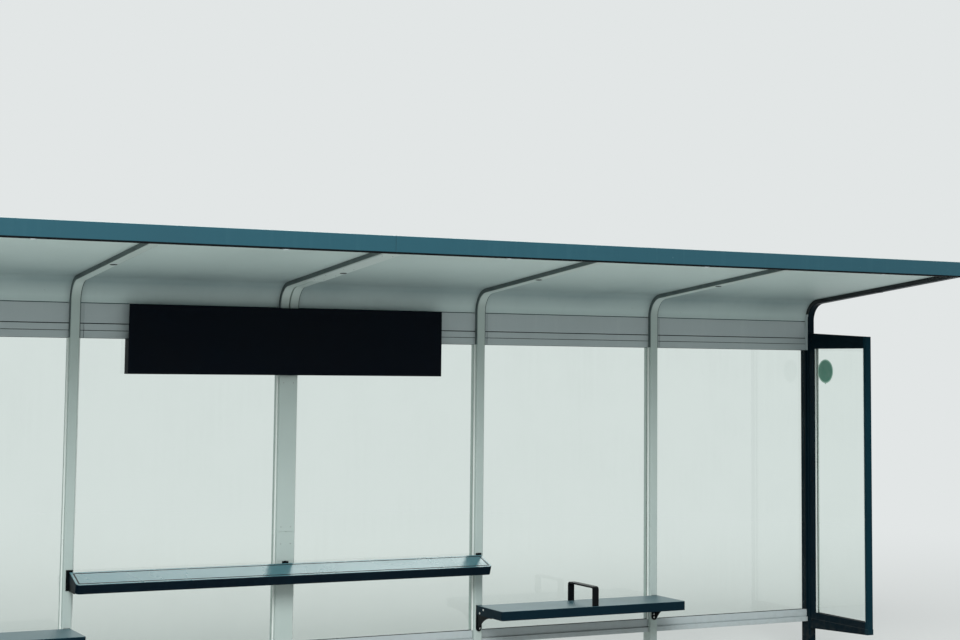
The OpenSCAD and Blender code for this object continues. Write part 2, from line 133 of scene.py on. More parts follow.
def powderCoat(name, look):
    # polyester powder baked on to metal: even and satin with a fine pebbled skin; outdoors it clouds a
    # little, dust lies on what faces up, rain leaves pale runs and the ground splashes the feet; some looks
    # add painted light on what faces up or down, and painted shade towards the ceiling's bend
    material, tree, place = newMaterial(name)
    spot = addNode(tree, "ShaderNodeSeparateXYZ", {0: place}).outputs
    normal = addNode(tree, "ShaderNodeNewGeometry").outputs["Normal"]
    up = addNode(tree, "ShaderNodeSeparateXYZ", {0: normal}).outputs[2]
    clouds = pattern(tree, place, look["cloudMm"], 4.0)
    layers = [(stretched(tree, (clouds, 0.35, 0.7)), look["cloud"])]
    if "top" in look:                       # painted light: what faces the sky is paler, as if lit from above
        layers.append((stretched(tree, (up, 0.35, 0.85)), look["top"]))
    if "under" in look:                     # painted light: what faces down is paler, as if lit by the ground below
        layers.append((stretched(tree, (up, -0.3, -0.9)), look["under"]))
    runs = pattern(tree, place, look["runMm"], 3.0, weatherAndShade["runAlong"])
    runShare = stretched(tree, (runs, 0.55, 0.75), (up, -0.2, 0.5, 1.0, 0.0), look["runs"])
    layers.append((runShare, look["runTone"]))
    dustShare = stretched(tree, (up, 0.5, 1.0), (clouds, 0.3, 0.7), look["dust"])
    layers.append((dustShare, weatherAndShade["dust"]))
    splashes = pattern(tree, place, weatherAndShade["mudMm"], 6.0)
    mudShare = stretched(tree, (spot[2], weatherAndShade["mudFull"], weatherAndShade["mudEnd"], 1.0, 0.0),
                         (splashes, 0.42, 0.68), look["splash"])
    layers.append((mudShare, weatherAndShade["mud"]))
    specks = pattern(tree, place, look["speckMm"], 0.0, kind="ShaderNodeTexVoronoi")
    layers.append((stretched(tree, (specks, 0.02, 0.05, look["specks"], 0.0)), look["speck"]))
    if "creaseShade" in look:                     # painted shade: darker towards the bend, less on the upright part
        back = (spot[1], look["creaseShadeFrom"], look["creaseShadeY"])
        high = (spot[2], look["creaseShadeLow"], look["creaseShadeZ"], look["creaseShadeLeft"], 1.0)
        patchy = (clouds, 0.35, 0.65, 0.75 * look["creaseShade"], 1.1 * look["creaseShade"])
        layers.append((stretched(tree, back, back, high, patchy), weatherAndShade["creaseShade"]))
    skin = addNode(tree, "ShaderNodeBump", {
        "Height": pattern(tree, place, look["grainMm"]), "Strength": look["bump"], "Distance": 0.001})
    return finished(material, "ShaderNodeBsdfPrincipled", {
        "Base Color": layered(tree, look["coat"], *layers),
        "Roughness": stretched(tree, (clouds, 0.3, 0.7, look["rough"] - 0.05, look["rough"] + 0.07)),
        "Normal": skin.outputs[0], "IOR": look["ior"], "Specular IOR Level": look["shine"]})


# a pale coat's under tone is painted light: it makes down-facing faces paler, as light from the ground would
# grain is real powder coat's 1 to 2 mm pebbling, drawn at 3 or 4 mm so that it shows
paleCoat = {"coat": "#a6b5b1", "cloud": "#acbab6", "cloudMm": 500, "grainMm": 4, "speckMm": 90, "dust": 0.3,
            "specks": 0.2, "speck": "#87908b", "rough": 0.42, "bump": 0.05, "ior": 1.5, "shine": 0.4,
            "runMm": 26, "runs": 0.12, "runTone": "#c3cdc8", "splash": 0.5, "under": "#bdccc9"}
beadCoat = dict(paleCoat, coat="#d3dcd8", cloud="#dce4e0", splash=0.2)
# painted light: a paler coat for the cover under the double rib and, as a painted highlight, for the fascia's
# top arris; its under tone is paler still
paleHighlightCoat = dict(paleCoat, coat="#b4c6c8", cloud="#c2d0d0", splash=0.0, under="#ccd9d7")
railCoat = dict(paleCoat, coat="#a6b1b3", cloud="#acb7b9", runs=0.14, dust=0.5)
# the ceiling's coat is painted darker towards its bend, painted shade standing in for less light there
ceilingCoat = {"coat": "#c2d3d1", "cloud": "#c8d9d7", "cloudMm": 700, "grainMm": 4, "speckMm": 120,
               "dust": 0.2, "specks": 0.25, "speck": "#98a29d", "rough": 0.5, "bump": 0.03, "ior": 1.5,
               "shine": 0.3, "runMm": 40, "runs": 0.08, "runTone": "#a3aea9", "splash": 0.0, "creaseShade": 0.64,
               "creaseShadeFrom": -1.35, "creaseShadeY": -0.07, "creaseShadeLow": 2.17, "creaseShadeZ": 2.245, "creaseShadeLeft": 0.3}
tealCoat = {"coat": "#204f5c", "cloud": "#1d4a57", "cloudMm": 900, "grainMm": 4, "speckMm": 110,
            "dust": 0.35, "specks": 0.3, "speck": "#5d7c82", "rough": 0.36, "bump": 0.05, "ior": 1.5,
            "shine": 0.3, "runMm": 34, "runs": 0.1, "runTone": "#447079", "splash": 0.0}
darkTealCoat = {"coat": "#051820", "cloud": "#04141c", "cloudMm": 400, "grainMm": 4, "speckMm": 80,
                "dust": 0.12, "specks": 0.15, "speck": "#2c4048", "rough": 0.4, "bump": 0.05, "ior": 1.5,
                "shine": 0.035, "runMm": 24, "runs": 0.08, "runTone": "#142b34", "splash": 0.12}
# painted light: a paler copy of the dark teal for the wing's front stile, which faces the light
litStileCoat = dict(darkTealCoat, coat="#0a2c37", cloud="#092731", runTone="#1e3e48")
# the seat's top tone is painted light: it makes what faces up paler, as light from above would
seatCoat = {"coat": "#08202a", "cloud": "#071b25", "cloudMm": 250, "grainMm": 3, "speckMm": 60, "dust": 0.2,
            "specks": 0.25, "speck": "#4c6468", "rough": 0.42, "bump": 0.08, "ior": 1.5, "shine": 0.25,
            "runMm": 24, "runs": 0.1, "runTone": "#24404a", "splash": 0.1, "top": "#2f5661"}
apronCoat = {"coat": "#061e28", "cloud": "#051a24", "cloudMm": 250, "grainMm": 3, "speckMm": 70, "dust": 0.2,
             "specks": 0.15, "speck": "#3c5459", "rough": 0.42, "bump": 0.06, "ior": 1.5, "shine": 0.06,
             "runMm": 24, "runs": 0.08, "runTone": "#173640", "splash": 0.1}
# the lean rail's top tone is painted light: it makes its top paler, as light from above would
leanCoat = dict(seatCoat, coat="#0b2630", cloud="#0a222c", rough=0.26, bump=0.03, ior=1.6, shine=0.5,
                dust=0.08, top="#25606b")
# painted shade: a darker copy of the lean rail's coat for its sides and underside, also taken by its groove
# and the strip beside it
leanShadedSideCoat = dict(apronCoat, coat="#03131d", cloud="#03101a", rough=0.36)
blackCoat = {"coat": "#05090c", "cloud": "#04070a", "cloudMm": 200, "grainMm": 3, "speckMm": 60, "dust": 0.1,
             "specks": 0.2, "speck": "#3a4346", "rough": 0.45, "bump": 0.06, "ior": 1.5, "shine": 0.08,
             "runMm": 20, "runs": 0.06, "runTone": "#1c2427", "splash": 0.1}


def boardEnamel(look):
    # vitreous enamel fired on sheet steel: nearly black and smooth, with a soft mirror and a slight ripple
    material, tree, place = newMaterial("boardEnamel")
    clouds = pattern(tree, place, look["hazeMm"], 5.0)
    ripple = addNode(tree, "ShaderNodeBump", {
        "Height": pattern(tree, place, look["rippleMm"]), "Strength": 0.05, "Distance": 0.002})
    return finished(material, "ShaderNodeBsdfPrincipled", {
        "Base Color": layered(tree, look["enamel"], (stretched(tree, (clouds, 0.3, 0.8)), look["haze"])),
        "Roughness": stretched(tree, (clouds, 0.3, 0.7, look["rough"] - 0.06, look["rough"] + 0.06)),
        "Normal": ripple.outputs[0], "Specular IOR Level": look["shine"]})


def safetyGlass(look):
    # toughened float glass: clear with a faint green body, and a thin film of dust that rain has run
    material, tree, place = newMaterial("safetyGlass")
    film = pattern(tree, place, look["filmMm"], 6.0)
    runs = pattern(tree, place, look["runMm"], 3.0, look["runAlong"])
    filmShare = stretched(tree, (film, 0.4, 0.75), (runs, 0.3, 0.7, 0.4, 1.0), look["film"])
    passing = addNode(tree, "ShaderNodeBsdfTransparent", {"Color": tone(look["tint"])}).outputs[0]
    sheen = addNode(tree, "ShaderNodeBsdfGlossy", {"Color": tone("#ffffff"), "Roughness": 0.02}).outputs[0]
    bounce = addNode(tree, "ShaderNodeFresnel", {"IOR": 1.5}).outputs[0]
    behind = addNode(tree, "ShaderNodeNewGeometry").outputs["Backfacing"]
    outer = (behind, 0.0, 1.0, look["mirror"], 0.0)         # only a pane's outer faces mirror
    pane = addNode(tree, "ShaderNodeMixShader", {0: stretched(tree, bounce, outer), 1: passing, 2: sheen})
    dusty = addNode(tree, "ShaderNodeBsdfDiffuse", {"Color": tone(look["dust"])}).outputs[0]
    return finished(material, "ShaderNodeMixShader", {0: filmShare, 1: pane.outputs[0], 2: dusty})


def glazingRubber(name, look):
    # extruded EPDM rubber: matt, chalky where it has aged
    material, tree, place = newMaterial(name)
    chalk = pattern(tree, place, look["chalkMm"], 5.0)
    skin = addNode(tree, "ShaderNodeBump", {"Height": chalk, "Strength": 0.1, "Distance": 0.0005})
    return finished(material, "ShaderNodeBsdfPrincipled", {
        "Base Color": layered(tree, look["rubber"], (stretched(tree, (chalk, 0.4, 0.8)), look["chalk"])),
        "Roughness": 0.7, "Normal": skin.outputs[0]})


def fastenerSteel(name, look):
    # steel turned or cold headed into a fastener: finely grained, bright where clean, duller in patches
    material, tree, place = newMaterial(name)
    patches = pattern(tree, place, look["patchMm"], 5.0)
    grain = addNode(tree, "ShaderNodeBump", {
        "Height": pattern(tree, place, look["grainMm"]), "Strength": 0.12, "Distance": 0.0003})
    return finished(material, "ShaderNodeBsdfPrincipled", {
        "Base Color": layered(tree, look["metal"], (stretched(tree, (patches, 0.4, 0.7)), look["patch"])),
        "Metallic": look["metallic"],
        "Roughness": stretched(tree, (patches, 0.3, 0.7, look["rough"] - 0.06, look["rough"] + 0.1)),
        "Normal": grain.outputs[0]})


def vinylFilm(name, look):
    # printed vinyl film on glass: flat colour, a soft sheen and a trace of orange peel
    material, tree, place = newMaterial(name)
    fade = pattern(tree, place, look["fadeMm"], 4.0)
    fadeShare = stretched(tree, (fade, 0.3, 0.8, 0.0, look["fade"]))
    peel = addNode(tree, "ShaderNodeBump", {
        "Height": pattern(tree, place, look["peelMm"]), "Strength": 0.05, "Distance": 0.0005})
    return finished(material, "ShaderNodeBsdfPrincipled", {
        "Base Color": layered(tree, look["print"], (fadeShare, look["faded"])),
        "Roughness": 0.35, "Normal": peel.outputs[0]})


greenFilm = {"print": "#458672", "faded": "#8fa79b", "fadeMm": 40, "fade": 0.25, "peelMm": 3}
finishes = {
    "pale": powderCoat("palePowderCoat", paleCoat),
    "rail": powderCoat("railPowderCoat", railCoat),
    "ceiling": powderCoat("ceilingPowderCoat", ceilingCoat),
    "teal": powderCoat("tealPowderCoat", tealCoat),
    "darkTeal": powderCoat("darkTealPowderCoat", darkTealCoat),
    "stileTeal": powderCoat("litStileTealPowderCoat", litStileCoat),
    "seat": powderCoat("seatPowderCoat", seatCoat),
    "apron": powderCoat("apronPowderCoat", apronCoat),
    "lean": powderCoat("leanTopPowderCoat", leanCoat),
    "leanSide": powderCoat("leanShadedSidePowderCoat", leanShadedSideCoat),
    "black": powderCoat("blackPowderCoat", blackCoat),
    "enamel": boardEnamel({"enamel": "#00050d", "haze": "#010812", "hazeMm": 300, "rippleMm": 120,
                           "rough": 0.55, "shine": 0.06}),
    "glass": safetyGlass({"tint": "#f6faf8", "filmMm": 350, "film": 0.03, "runMm": 30, "runAlong": 0.05,
                          "mirror": 1.3, "dust": "#b9c4bf"}),
    "rubber": glazingRubber("glazingRubber", {"rubber": "#11171a", "chalk": "#192023", "chalkMm": 60}),
    "sealRubber": glazingRubber("greySealRubber", {"rubber": "#4b5858", "chalk": "#586665", "chalkMm": 90}),
    "bead": powderCoat("beadPowderCoat", beadCoat),
    # a paler coat: painted light on the rib cover, painted highlight on the fascia's top arris
    "edge": powderCoat("paintedHighlightPowderCoat", paleHighlightCoat),
    "zinc": fastenerSteel("hotDipZinc", {
        "metal": "#9aa09f", "patch": "#7e8584", "patchMm": 14, "grainMm": 1.2, "metallic": 0.8,
        "rough": 0.48}),
    "stainless": fastenerSteel("stainlessSteel", {
        "metal": "#c9cbc9", "patch": "#a9acab", "patchMm": 8, "grainMm": 1.2, "metallic": 1.0,
        "rough": 0.28}),
    "green": vinylFilm("greenVinylFilm", greenFilm),
    "greenRim": vinylFilm("paleGreenVinylFilm", dict(greenFilm, print="#a3cdbb")),
}


def finishOf(name):
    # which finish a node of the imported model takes
    if "glass" in name:
        return "glass"
    if "gasket" in name:
        return "rubber"
    if "seal" in name:
        return "sealRubber"
    if name == "glazing_beads":
        return "bead"
    if name in ("frame_left_end", "frame_right_end") or name.startswith("wing"):
        return "darkTeal"
    if name.startswith("ceiling"):
        return "ceiling"
    if name.startswith("roof_skin") or name.startswith("fascia"):
        return "teal"
    if name == "name_board":
        return "enamel"
    if name == "lean_rail":
        return "lean"
    if name.endswith("seat"):
        return "seat"
    if "bracket" in name or "armrest" in name:
        return "black"
    if name in ("header_rails", "bottom_rails"):
        return "rail"
    return "pale"


for name, thing in nodes.items():
    for slot in thing.material_slots:
        slot.material = finishes[finishOf(name)]
print("finishes set")


# Metal pieces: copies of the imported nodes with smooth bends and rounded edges


def markSharp(mesh, bands):
    # edges whose angle in degrees lies in one of the bands are sharp, all others shade smoothly
    for face in mesh.faces:
        face.smooth = True
    for edge in mesh.edges:
        angle = math.degrees(edge.calc_face_angle(math.pi))
        edge.smooth = not any(low < angle <= high for low, high in bands)


def newPiece(name, mesh, finish):
    # makes a bmesh a piece of the shelter, which rides on its one body
    data = bpy.data.meshes.new(name)
    mesh.to_mesh(data)
    mesh.free()
    if "custom_normal" in data.attributes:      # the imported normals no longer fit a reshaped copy
        data.attributes.remove(data.attributes["custom_normal"])
    for one in finish.split():
        data.materials.append(finishes[one])
    piece = bpy.data.objects.new(name, data)
    bpy.context.scene.collection.objects.link(piece)
    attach(piece, "root")
    return piece


rounding = {"merge": 0.00002, "flatTo": 0.2, "hardFrom": 40.0, "near": 0.0001}
flatBands = [(12.0, 180.0)]
tubeBands = [(10.0, 20.0), (35.0, 180.0)]     # a tube's flats stay flat beside its rounded corners


def hardEdge(edge):
    return edge.is_manifold and edge.calc_face_angle() > math.radians(rounding["hardFrom"])


def softened(name, width, segments=1, pick=hardEdge, bands=flatBands, finish=None, paint=None,
             flatten=True):
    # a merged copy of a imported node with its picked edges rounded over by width
    mesh = bmesh.new()
    mesh.from_mesh(nodes[name].data)
    bmesh.ops.remove_doubles(mesh, verts=mesh.verts, dist=rounding["merge"])
    if flatten:
        bmesh.ops.dissolve_limit(mesh, angle_limit=math.radians(rounding["flatTo"]), verts=mesh.verts,
                                 edges=mesh.edges)
    picked = [edge for edge in mesh.edges if hardEdge(edge) and pick(edge)]
    if picked:
        bmesh.ops.bevel(mesh, geom=picked, offset=width, offset_type="OFFSET", affect="EDGES",
                        segments=segments, profile=0.5, material=-1, clamp_overlap=True)
    markSharp(mesh, bands)
    loose = sum(1 for edge in mesh.edges if not edge.is_manifold)
    if loose:
        print("open edges in", name, loose)
    if paint:
        paint(mesh)
    piece = newPiece("soft_" + name, mesh, finish or finishOf(name))
    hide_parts(name)


def splitAt(mesh, place, way):
    # draws a line round the mesh where a plane crosses it
    bmesh.ops.bisect_plane(mesh, geom=mesh.verts[:] + mesh.edges[:] + mesh.faces[:], plane_co=place,
                           plane_no=way)


# in metres: from frame to frame, and how many bays lie on each side of the middle
spacing = {"bay": 1.2, "sideBays": 3}

edgeWidths = {"bottom_rails": 0.001, "name_board": 0.001, "lean_rail_brackets": 0.001,
              "bench_left_brackets": 0.001, "bench_right_brackets": 0.001, "bench_left_armrest": 0.0015,
              "bench_right_armrest": 0.0015, "roof_skin_left": 0.0004, "roof_skin_right": 0.0004}
for name, width in edgeWidths.items():
    softened(name, width)

rails = {"headerWidth": 0.0006, "grooveFront": -0.0137, "grooveBack": -0.008, "headerLow": 1.96,
         "headerHigh": 2.04, "beadWidth": 0.0008, "coverWidth": 0.0005, "ribZ": 2.2, "endX": 3.5,
         "sealTop": 2.18, "wallFront": -0.05, "ceilingWidth": 0.0005}


def paintGrooves(mesh):
    # the long grooves in the header's front are black
    for face in mesh.faces:
        middle = face.calc_center_median()
        inside = rails["grooveFront"] < middle.y < rails["grooveBack"]
        if inside and rails["headerLow"] < middle.z < rails["headerHigh"]:
            face.material_index = 1


def paintCoverHighlight(mesh):
    # painted light: the cover under the double rib takes a paler coat than those on the post
    for face in mesh.faces:
        if face.calc_center_median().z > rails["ribZ"]:
            face.material_index = 1


def paintEnds(mesh):
    # beside the two dark end frames the back wall's beads are dark too
    for face in mesh.faces:
        middle = face.calc_center_median()
        if abs(middle.x) > rails["endX"] and middle.y > rails["wallFront"]:
            face.material_index = 1


def paintSeals(mesh):
    # beside the end frames the seals are black along the ribs and pale beside the header
    for face in mesh.faces:
        middle = face.calc_center_median()
        if abs(middle.x) > rails["endX"]:
            face.material_index = 2 if middle.z < rails["sealTop"] else 1


softened("header_rails", rails["headerWidth"], finish="rail rubber", paint=paintGrooves)
softened("centre_covers", rails["coverWidth"], finish="pale edge", paint=paintCoverHighlight)
softened("glazing_beads", rails["beadWidth"], finish="bead darkTeal", paint=paintEnds)
softened("panel_seals", 0.0, pick=lambda edge: False, finish="sealRubber rubber rail", paint=paintSeals,
         flatten=False)
for name in nodes:
    if name.startswith("ceiling_bay"):
        softened(name, rails["ceilingWidth"])

# the top arris's bevel width also bounds its painted highlight; the bottom strip is black up to the next
# height
fasciaEdge = {"width": 0.0018, "drip": 0.009, "front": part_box("fascia_left")[0][1], "near": 0.001}


def paintFascia(mesh):
    # the bottom strip and the underside are black, and the top arris takes a paler coat, a painted highlight
    low = min(v.co.z for v in mesh.verts) + fasciaEdge["drip"]
    high = max(v.co.z for v in mesh.verts)
    splitAt(mesh, (0, 0, low), (0, 0, 1))
    for face in mesh.faces:
        middle = face.calc_center_median()
        if middle.z < low:
            face.material_index = 1
        elif middle.y < fasciaEdge["front"] + fasciaEdge["width"] and middle.z > high - fasciaEdge["width"]:
            face.material_index = 2


def frontEdge(edge):
    return all(v.co.y < fasciaEdge["front"] + fasciaEdge["near"] for v in edge.verts)


for name in ("fascia_left", "fascia_right"):
    softened(name, fasciaEdge["width"], 2, frontEdge, finish="teal black edge", paint=paintFascia)

wings = {"edge": 0.0018, "stile": 0.028}


def paintLitStile(mesh):
    # painted light: the front stile faces the light and takes a paler coat than the rest of the frame
    inner = min(v.co.y for v in mesh.verts) + wings["stile"]
    splitAt(mesh, (0, inner, 0), (0, 1, 0))
    for face in mesh.faces:
        if face.calc_center_median().y < inner:
            face.material_index = 1


for name in ("wing_left_frame", "wing_right_frame"):
    softened(name, wings["edge"], finish="darkTeal stileTeal", paint=paintLitStile)

feet = {"plateTop": 0.015, "plateHalfX": 0.09, "plateHalfY": 0.11, "plateEdge": 0.002}


def onPlateRim(co):
    # true at the outline of a base plate, whichever frame it carries
    fromPost = abs(co.x - round(co.x / spacing["bay"]) * spacing["bay"])
    atSide = abs(fromPost - feet["plateHalfX"]) < rounding["near"]
    atEnd = abs(abs(co.y) - feet["plateHalfY"]) < rounding["near"]
    return co.z < feet["plateTop"] + rounding["near"] and (atSide or atEnd)


def plateEdge(edge):
    return all(onPlateRim(v.co) for v in edge.verts)


for name in nodes:
    if name.startswith("frame_"):
        softened(name, feet["plateEdge"], 2, plateEdge, tubeBands)

lean = {"tilt": 19.0, "edge": 0.002, "level": 0.0001, "groove": 0.002, "backIn": 0.01, "rim": 0.017,
        "darkStrip": 0.0045, "facing": 0.35}
leanUp = Vector((0.0, -math.sin(math.radians(lean["tilt"])), math.cos(math.radians(lean["tilt"]))))
leanOut = Vector((0.0, -leanUp.z, leanUp.y))
leanCorners = [v.co for v in nodes["lean_rail"].data.vertices]
leanTop = max(co.dot(leanUp) for co in leanCorners)
leanFront = max(co.dot(leanOut) for co in leanCorners if co.dot(leanUp) > leanTop - lean["level"])
leanRear = min(co.dot(leanOut) for co in leanCorners if co.dot(leanUp) > leanTop - lean["level"])
leanEnd = max(abs(co.x) for co in leanCorners)


def topRim(edge):
    # an edge between the lean rail's top and its front or ends
    if any(v.co.dot(leanUp) < leanTop - lean["level"] for v in edge.verts):
        return False
    deepest = min(v.co.dot(leanUp) for face in edge.link_faces for v in face.verts)
    atBack = all(v.co.dot(leanOut) < leanRear + lean["backIn"] for v in edge.verts)
    return deepest < leanTop - 2 * lean["groove"] and not atBack


def paintLean(mesh):
    # only the top is glossy: the sides and the underside are dull and darker, painted shade; the groove and a
    # strip either side of it are dark too
    right = Vector((1.0, 0.0, 0.0))
    lines = ((right, leanEnd - lean["rim"]), (right, lean["rim"] - leanEnd),
             (leanOut, leanFront - lean["rim"]), (leanOut, leanRear + lean["rim"]))
    for way, place in lines:
        for side in (-lean["darkStrip"], lean["darkStrip"]):
            splitAt(mesh, way * (place + side), way)
    for face in mesh.faces:
        face.normal_update()
        middle = face.calc_center_median()
        out = middle.dot(leanOut)
        edgeIn = min(leanEnd - abs(middle.x), leanFront - out, out - leanRear)
        darkened = abs(edgeIn - lean["rim"]) < lean["darkStrip"] or middle.dot(leanUp) < leanTop - lean["edge"]
        face.material_index = 1 if darkened or face.normal.dot(leanUp) < lean["facing"] else 0


softened("lean_rail", lean["edge"], 2, topRim, finish="lean leanSide", paint=paintLean, flatten=False)

seats = {"edge": 0.003, "under": 0.0005, "flat": 0.5}


def paintSeat(mesh):
    # the top takes the seat coat, whose up-facing faces are painted paler as light from above would make
    # them; the apron round it takes a duller coat
    for face in mesh.faces:
        face.normal_update()
        face.material_index = 0 if face.normal.z > seats["flat"] else 1


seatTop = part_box("bench_left_seat")[1][2] - seats["under"]


def seatRim(edge):
    return all(v.co.z > seatTop for v in edge.verts)


for name in ("bench_left_seat", "bench_right_seat"):
    softened(name, seats["edge"], 3, seatRim, finish="seat apron", paint=paintSeat)
print("metal pieces rounded over")


# Small fittings

trees = {}


def land(name, start, way):
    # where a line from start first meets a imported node, and which way the surface faces there
    if name not in trees:
        data = nodes[name].data
        trees[name] = BVHTree.FromPolygons([v.co for v in data.vertices],
                                           [p.vertices for p in data.polygons])
    spot, normal, _, _ = trees[name].ray_cast(Vector(start), Vector(way))
    return spot, normal


def asShape(mesh, limit=40.0):
    # keeps a bmesh as a mesh that can be stamped many times
    markSharp(mesh, [(limit, 180.0)])
    data = bpy.data.meshes.new("shape")
    mesh.to_mesh(data)
    mesh.free()
    return data


def stamp(target, shape, place, axis=(0.0, 0.0, 1.0), turn=0.0):
    # adds a copy of a shape to a bmesh, standing at place with its height along axis
    known = len(target.verts)
    target.from_mesh(shape)
    target.verts.ensure_lookup_table()
    stand = Vector(axis).to_track_quat("Z", "Y").to_matrix().to_4x4()
    bmesh.ops.transform(target, matrix=Matrix.Translation(place) @ stand @ Matrix.Rotation(turn, 4, "Z"),
                        verts=target.verts[known:])


def fix(target, shape, name, start, way, turn=0.0):
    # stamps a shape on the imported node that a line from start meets, facing outwards from it
    spot, facing = land(name, start, way)
    stamp(target, shape, spot, facing, turn)


def turned(mesh, profile, steps):
    # a round shape from its half section, given as radius and height from the top down to the underside
    corners = [mesh.verts.new((radius, 0.0, height)) for radius, height in profile]
    rim = [mesh.edges.new(pair) for pair in zip(corners, corners[1:])]
    bmesh.ops.spin(mesh, geom=corners + rim, cent=(0, 0, 0), axis=(0, 0, 1), angle=math.tau, steps=steps,
                   use_merge=True)


def closed(mesh):
    # closes the poles and seam of a turned shape
    bmesh.ops.remove_doubles(mesh, verts=mesh.verts, dist=0.000001)
    bmesh.ops.recalc_face_normals(mesh, faces=mesh.faces)
    return mesh


def domedHead(radius, height, steps=12):
    # a low domed screw head with a round drive recess
    mesh = bmesh.new()
    shares = ((0.0, 0.4), (0.3, 0.4), (0.3, 1.0), (0.6, 0.93), (0.86, 0.68), (0.97, 0.35), (1.0, 0.0),
              (0.0, 0.0))
    turned(mesh, [(out * radius, up * height) for out, up in shares], steps)
    return asShape(closed(mesh))


anchor = {"washer": 0.016, "washerT": 0.003, "washerEdge": 0.0006, "across": 0.024, "nutH": 0.013,
          "stud": 0.008, "studTop": 0.030, "studEdge": 0.0012, "studFoot": 0.001, "chamfer": 0.0014}


def turnedDisc(mesh, radius, foot, top, edge, steps):
    # a round bar or washer with a chamfered upper edge
    turned(mesh, [(0.0, top), (radius - edge, top), (radius, top - edge), (radius, foot), (0.0, foot)], steps)


def anchorSet():
    # washer, hexagon nut with chamfered corners and the end of the stud
    mesh = bmesh.new()
    turnedDisc(mesh, anchor["washer"], 0.0, anchor["washerT"], anchor["washerEdge"], 20)
    turnedDisc(mesh, anchor["stud"], anchor["studFoot"], anchor["studTop"], anchor["studEdge"], 16)
    closed(mesh)
    nut = bmesh.new()
    bmesh.ops.create_circle(nut, cap_ends=True, radius=anchor["across"] / math.sqrt(3), segments=6)
    top = bmesh.ops.extrude_face_region(nut, geom=nut.faces[:])["geom"]
    bmesh.ops.translate(nut, verts=[v for v in top if isinstance(v, bmesh.types.BMVert)],
                        vec=(0, 0, anchor["nutH"]))
    bmesh.ops.translate(nut, verts=nut.verts, vec=(0, 0, anchor["washerT"]))
    level = [edge for edge in nut.edges if abs(edge.verts[0].co.z - edge.verts[1].co.z) < rounding["near"]]
    bmesh.ops.bevel(nut, geom=level, offset=anchor["chamfer"], affect="EDGES", segments=2, profile=0.5,
                    material=-1)
    bmesh.ops.recalc_face_normals(nut, faces=nut.faces)
    shape = asShape(nut, 20.0)
    mesh.from_mesh(shape)
    return asShape(mesh, 25.0)


nuts = bmesh.new()
nutShape = anchorSet()
for mount in record["mounts"]:
    if mount["kind"] != "bolt_pattern":
        continue
    halfX = mount["dims"]["spacing_x_mm"] / 2000
    halfY = mount["dims"]["spacing_y_mm"] / 2000
    for x in (-halfX, halfX):
        for y in (-halfY, halfY):
            spot = (mount["pos_m"][0] + x, y, feet["plateTop"])
            stamp(nuts, nutShape, spot, turn=draw.uniform(0, math.pi / 3))
newPiece("anchor_nuts", nuts, "zinc")

# the bead climbs steeply, then closes in on the post: rise and inward share of each of its steps
weld = {"leg": 0.007, "corner": 0.006, "postX": 0.05, "pairX": 0.105, "postY": 0.08,
        "steps": ((0.45, 0.12), (0.35, 0.38), (0.2, 0.5))}


def weldBead(target, x, wide, deep):
    # a rounded fillet of weld round the foot of a post
    mesh = bmesh.new()
    bmesh.ops.create_grid(mesh, x_segments=1, y_segments=1, size=0.5)
    leg = weld["leg"]
    bmesh.ops.scale(mesh, vec=(wide + 2 * leg, deep + 2 * leg, 1.0), verts=mesh.verts)
    bmesh.ops.bevel(mesh, geom=mesh.verts[:], offset=leg + weld["corner"], affect="VERTICES", segments=5,
                    profile=0.5, material=-1)
    face = mesh.faces[:]
    for rise, share in weld["steps"]:
        out = bmesh.ops.extrude_face_region(mesh, geom=face)["geom"]
        ring = [v for v in out if isinstance(v, bmesh.types.BMVert)]
        face = [f for f in out if isinstance(f, bmesh.types.BMFace)]
        bmesh.ops.translate(mesh, verts=ring, vec=(0, 0, rise * leg))
        bmesh.ops.scale(mesh, vec=(1 - 2 * share * leg / wide, 1 - 2 * share * leg / deep, 1.0), verts=ring)
    bmesh.ops.recalc_face_normals(mesh, faces=mesh.faces)
    stamp(target, asShape(mesh, 60.0), (x, 0.0, feet["plateTop"]))


paleBeads, darkBeads = bmesh.new(), bmesh.new()
for number in range(-spacing["sideBays"], spacing["sideBays"] + 1):
    beads = darkBeads if abs(number) == spacing["sideBays"] else paleBeads
    weldBead(beads, number * spacing["bay"], weld["postX"] if number else weld["pairX"], weld["postY"])
newPiece("foot_welds_pale", paleBeads, "pale")
newPiece("foot_welds_dark", darkBeads, "darkTeal")

# each line of bolts starts off the shelter, at probe, and ends on the piece that it meets
probe = {"front": -1.0, "behind": 1.0, "below": 1.0, "above": 4.0, "aside": 1.0}

bench = {"middle": 1.8, "half": 0.6, "headR": 0.0065, "headH": 0.004,
         "endSpots": ((-0.089, 0.407), (-0.132, 0.431)), "plateZ": (0.317, 0.336), "plateIn": 0.003}
steelHeads = bmesh.new()
benchHead = domedHead(bench["headR"], bench["headH"])
for side, seatName in ((-1, "bench_left_seat"), (1, "bench_right_seat")):
    brackets = seatName.replace("seat", "brackets")
    for end in (-1, 1):
        for y, z in bench["endSpots"]:          # through the seat's end apron into the bracket's web
            outside = side * bench["middle"] + end * probe["aside"]
            fix(steelHeads, benchHead, seatName, (outside, y, z), (-end, 0, 0))
        for z in bench["plateZ"]:               # through the bracket's plate into the post
            x = side * bench["middle"] + end * (bench["half"] - bench["plateIn"])
            fix(steelHeads, benchHead, brackets, (x, probe["front"], z), (0, 1, 0))
newPiece("bench_bolts", steelHeads, "stainless")

